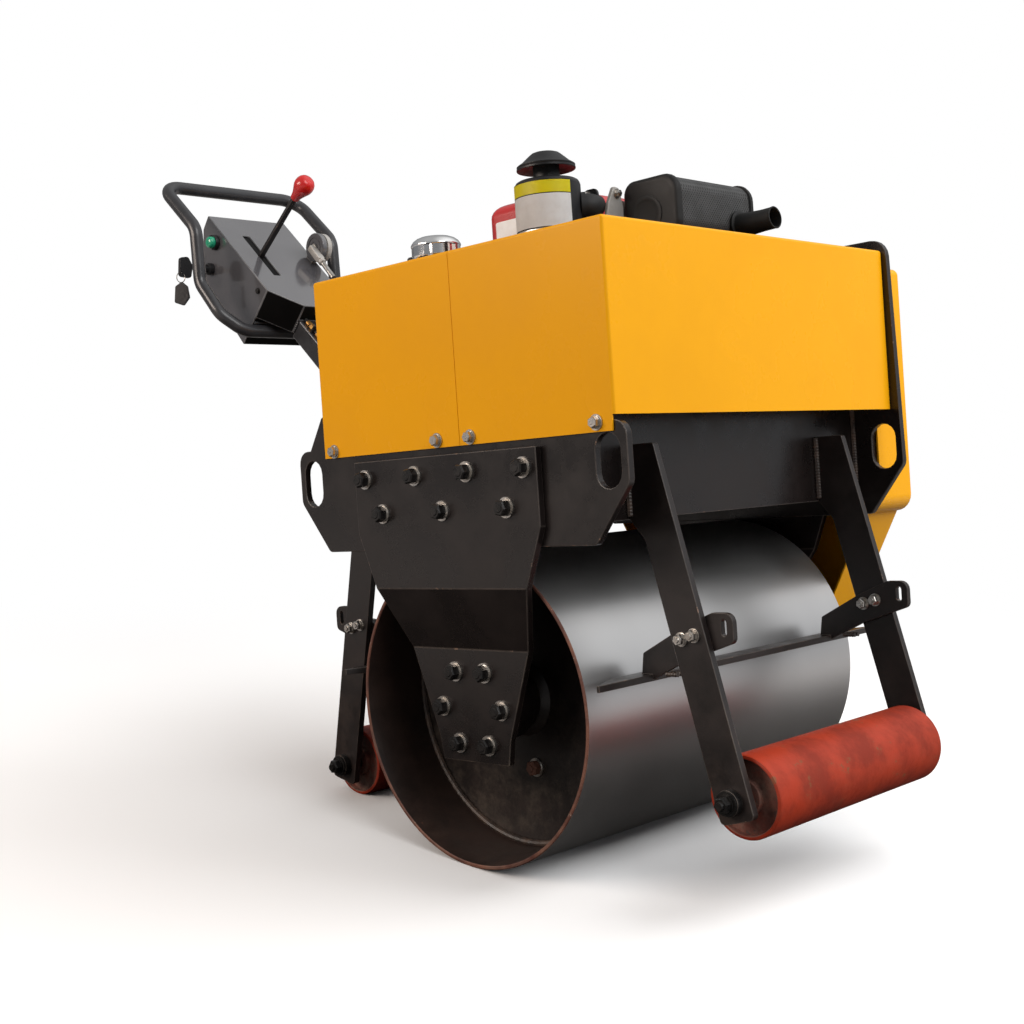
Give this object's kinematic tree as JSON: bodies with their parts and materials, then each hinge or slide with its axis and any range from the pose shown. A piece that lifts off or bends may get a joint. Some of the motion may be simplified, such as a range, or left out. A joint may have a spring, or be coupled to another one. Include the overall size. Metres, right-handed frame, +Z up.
{
  "type": "walk-behind single drum road roller",
  "caption": "Walk-behind road roller: one wide steel drum, small guide rollers fore and aft, open engine bay and a hinged rear handle with a control box.",
  "frame": {"origin": "middle of the machine's footprint box, on the floor it stands on", "axes": "+X forward, away from the handle, +Y to the machine's left, +Z up. The machine stands leaning back 6.1 degrees, on its drum and rear roller, as it parks"},
  "size_m": [1.6458, 0.864, 1.1829],
  "materials": {
    "hood_yellow": "gloss yellow paint with light dust",
    "frame_black": "satin black paint over plate, scuffed",
    "drum_steel": "bare rolled steel, rusty at the cut ends",
    "roller_red": "red oxide primer, dusty and worn",
    "engine_block": "plain cast block standing in for the engine",
    "gloss_red": "gloss red",
    "matte_black": "matte black",
    "exhaust_black": "heat-proof matte black",
    "chrome_cap": "bright chrome",
    "zinc": "zinc plated",
    "handle_grey": "gloss dark grey paint",
    "console_grey": "gloss grey paint",
    "button_green": "translucent green"
  },
  "bodies": {
    "chassis": {"air_cleaner": "matte_black", "bearing_housing_left": "frame_black", "bearing_housing_right": "frame_black", "belt_guard": "hood_yellow", "drum_carrier_left": "frame_black", "drum_carrier_right": "frame_black", "engine": "engine_block", "engine_deck": "frame_black", "front_cross_beam": "frame_black", "front_roller_shaft": "zinc", "front_scraper": "frame_black", "fuel_cap": "matte_black", "fuel_tank": "gloss_red", "handle_mount": "frame_black", "handle_pin": "frame_black", "hood_front_cover": "hood_yellow", "hood_rear_cover": "hood_yellow", "hydraulic_tank": "frame_black", "intake_elbow": "matte_black", "leg_front_left": "frame_black", "leg_front_right": "frame_black", "leg_rear_left": "frame_black", "leg_rear_right": "frame_black", "muffler": "exhaust_black", "precleaner_cap": "matte_black", "rear_cross_beam": "frame_black", "rear_roller_shaft": "zinc", "rear_scraper": "frame_black", "rocker_cover": "engine_block", "side_plate_left": "frame_black", "side_plate_right": "frame_black", "tailpipe": "exhaust_black", "tank_breather": "chrome_cap"},
    "drum": {"drum_shell": "drum_steel", "drum_disc_right": "frame_black", "drum_disc_left": "frame_black"},
    "front_roller": {"front_roller": "roller_red"},
    "rear_roller": {"rear_roller": "roller_red"},
    "handle": {"handle_arm": "handle_grey", "drive_cable": "matte_black", "throttle_cable": "matte_black", "console": "console_grey", "handle_loop": "handle_grey", "drive_lever": "matte_black", "lever_knob": "gloss_red", "button_bezel": "matte_black", "start_button": "button_green", "key_switch": "matte_black", "throttle_disc": "console_grey", "throttle_rod": "zinc"}
  },
  "joints": [
    {"name": "drum_turn", "type": "hinge", "parent": "chassis", "child": "drum", "pos_m": [0.32777, -0.05565, 0.2497], "axis": [0, 1, 0], "continuous": true},
    {"name": "front_roller_turn", "type": "hinge", "parent": "chassis", "child": "front_roller", "pos_m": [0.76199, -0.05565, 0.17627], "axis": [0, 1, 0], "continuous": true},
    {"name": "rear_roller_turn", "type": "hinge", "parent": "chassis", "child": "rear_roller", "pos_m": [-0.09461, -0.05565, 0.06091], "axis": [0, 1, 0], "continuous": true},
    {"name": "handle_lift", "type": "hinge", "parent": "chassis", "child": "handle", "pos_m": [-0.10419, -0.05565, 0.52852], "axis": [0, 1, 0], "range_deg": [0, 45]}
  ]
}
